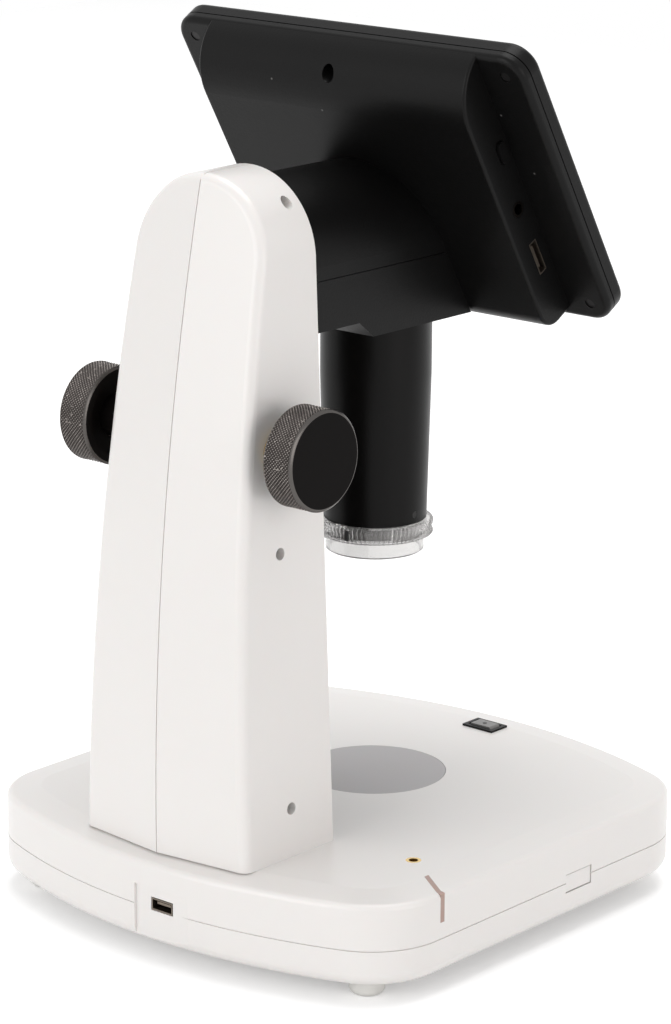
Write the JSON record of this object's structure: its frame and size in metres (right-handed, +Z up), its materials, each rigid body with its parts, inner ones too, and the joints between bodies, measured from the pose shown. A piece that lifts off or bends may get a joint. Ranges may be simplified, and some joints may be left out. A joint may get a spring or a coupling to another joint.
{
  "type": "digital microscope",
  "caption": "Desk microscope with a tilted screen at the back of its optical tube, an arched column with focus knobs, and a bowed base with a lit stage.",
  "frame": {"origin": "centre of the base's outline, on the table under the feet", "axes": "+X to the user's right, -Y towards the user, who faces the screen, +Z up"},
  "size_m": [0.178, 0.1892, 0.2892],
  "materials": {
    "white_plastic": "warm white moulded plastic, soft gloss",
    "black_plastic": "black moulded plastic, fine satin texture",
    "foot_rubber": "white rubber foot",
    "screw_steel": "plated screw steel",
    "insert_brass": "turned brass",
    "jack_brass": "plated jack barrel",
    "light_strip": "pinkish translucent light guide",
    "frosted_window": "frosted pale grey diffuser",
    "circuit_board": "green circuit board",
    "led_plastic": "small lamp packages",
    "switch_grey": "dark grey rocker",
    "socket_steel": "dark stamped steel shell",
    "battery_wrap": "wrapped battery cell",
    "frame_steel": "steel plate",
    "frame_aluminium": "extruded aluminium",
    "barrel_aluminium": "black anodised aluminium",
    "ring_metal": "black anodised ring",
    "shaft_steel": "ground steel shaft",
    "knob_metal": "gunmetal knob with a knurled rim and bright edges",
    "clear_glass": "clear glass",
    "display_panel": "dark display panel",
    "key_rubber": "dark key cap",
    "tube_black": "satin black tube",
    "clear_plastic": "clear moulded plastic"
  },
  "bodies": {
    "stand": {"base_top_shell": "white_plastic", "base_bottom_shell": "white_plastic", "rubber_feet": "foot_rubber", "base_screws": "screw_steel", "thread_inserts": "insert_brass", "charge_light_strip": "light_strip", "side_blank_plug": "white_plastic", "stage_window": "frosted_window", "stage_light_board": "circuit_board", "stage_leds": "led_plastic", "switch_frame": "black_plastic", "base_circuit_board": "circuit_board", "power_socket": "socket_steel", "battery": "battery_wrap", "column_left_half": "white_plastic", "column_right_half": "white_plastic", "column_screws": "screw_steel", "column_front_panel": "black_plastic", "column_foot_plate": "frame_steel", "column_foot_screws": "screw_steel", "guide_rail": "frame_aluminium", "shaft_bushes": "insert_brass"},
    "head": {"carriage": "frame_aluminium", "arm_bracket": "frame_aluminium", "bracket_screws": "screw_steel", "focus_rack": "insert_brass", "front_bezel": "black_plastic", "screen_glass": "clear_glass", "screen_panel": "display_panel", "key_board": "circuit_board", "video_socket": "socket_steel", "av_jack": "jack_brass", "head_circuit_board": "circuit_board", "cover_screws": "screw_steel", "rear_screw": "screw_steel", "rear_cover": "black_plastic", "neck_lower_cover": "black_plastic", "tube_housing": "tube_black", "set_screw": "screw_steel", "tube_screws": "screw_steel", "sensor_board": "circuit_board", "led_ring_board": "circuit_board", "ring_leds": "led_plastic"},
    "focus_knobs": {"focus_shaft": "shaft_steel", "focus_pinion": "insert_brass", "left_knob": "knob_metal", "right_knob": "knob_metal"},
    "light_switch": {"light_switch_rocker": "switch_grey"},
    "zoom_ring": {"zoom_ring": "ring_metal"},
    "lens_barrel": {"lens_barrel": "barrel_aluminium", "front_lens": "clear_glass", "rear_lens": "clear_glass"},
    "objective_cap": {"objective_cap": "clear_plastic"},
    "snapshot_button": {"snapshot_button": "black_plastic"},
    "menu_key_1": {"menu_key_1": "key_rubber"},
    "menu_key_2": {"menu_key_2": "key_rubber"},
    "menu_key_3": {"menu_key_3": "key_rubber"},
    "menu_key_4": {"menu_key_4": "key_rubber"},
    "menu_key_5": {"menu_key_5": "key_rubber"}
  },
  "joints": [
    {"name": "focus_slide", "type": "slide", "parent": "stand", "child": "head", "axis": [0, 0, 1], "range_m": [-0.06, 0]},
    {"name": "knob_turn", "type": "hinge", "parent": "stand", "child": "focus_knobs", "pos_m": [0, 0.0642, 0.1671], "axis": [1, 0, 0], "range_deg": [-5, 620]},
    {"name": "light_switch_rock", "type": "hinge", "parent": "stand", "child": "light_switch", "pos_m": [0, -0.0786, 0.0333], "axis": [0, 1, 0], "range_deg": [-8, 8]},
    {"name": "zoom_turn", "type": "hinge", "parent": "head", "child": "zoom_ring", "pos_m": [0, -0.018, 0.1612], "axis": [0, 0, 1], "range_deg": [-3, 273]},
    {"name": "lens_slide", "type": "slide", "parent": "head", "child": "lens_barrel", "axis": [0, 0, 1], "range_m": [0, 0.01]},
    {"name": "cap_twist", "type": "hinge", "parent": "head", "child": "objective_cap", "pos_m": [0, -0.018, 0.1219], "axis": [0, 0, 1], "range_deg": [0, 30]},
    {"name": "snapshot_press", "type": "slide", "parent": "head", "child": "snapshot_button", "axis": [1, 0, 0], "range_m": [0, 0.0008], "stiffness_N_per_m": 400},
    {"name": "menu_key_1_press", "type": "slide", "parent": "head", "child": "menu_key_1", "axis": [0, 0.863, -0.5053], "range_m": [0, 0.0005], "stiffness_N_per_m": 400},
    {"name": "menu_key_2_press", "type": "slide", "parent": "head", "child": "menu_key_2", "axis": [0, 0.863, -0.5053], "range_m": [0, 0.0005], "stiffness_N_per_m": 400},
    {"name": "menu_key_3_press", "type": "slide", "parent": "head", "child": "menu_key_3", "axis": [0, 0.863, -0.5053], "range_m": [0, 0.0005], "stiffness_N_per_m": 400},
    {"name": "menu_key_4_press", "type": "slide", "parent": "head", "child": "menu_key_4", "axis": [0, 0.863, -0.5053], "range_m": [0, 0.0005], "stiffness_N_per_m": 400},
    {"name": "menu_key_5_press", "type": "slide", "parent": "head", "child": "menu_key_5", "axis": [0, 0.863, -0.5053], "range_m": [0, 0.0005], "stiffness_N_per_m": 400}
  ],
  "couplings": [
    {"joint": "knob_turn", "follows": "focus_slide", "rad_per_m": -178.57},
    {"joint": "zoom_turn", "follows": "lens_slide", "rad_per_m": 471.24}
  ]
}
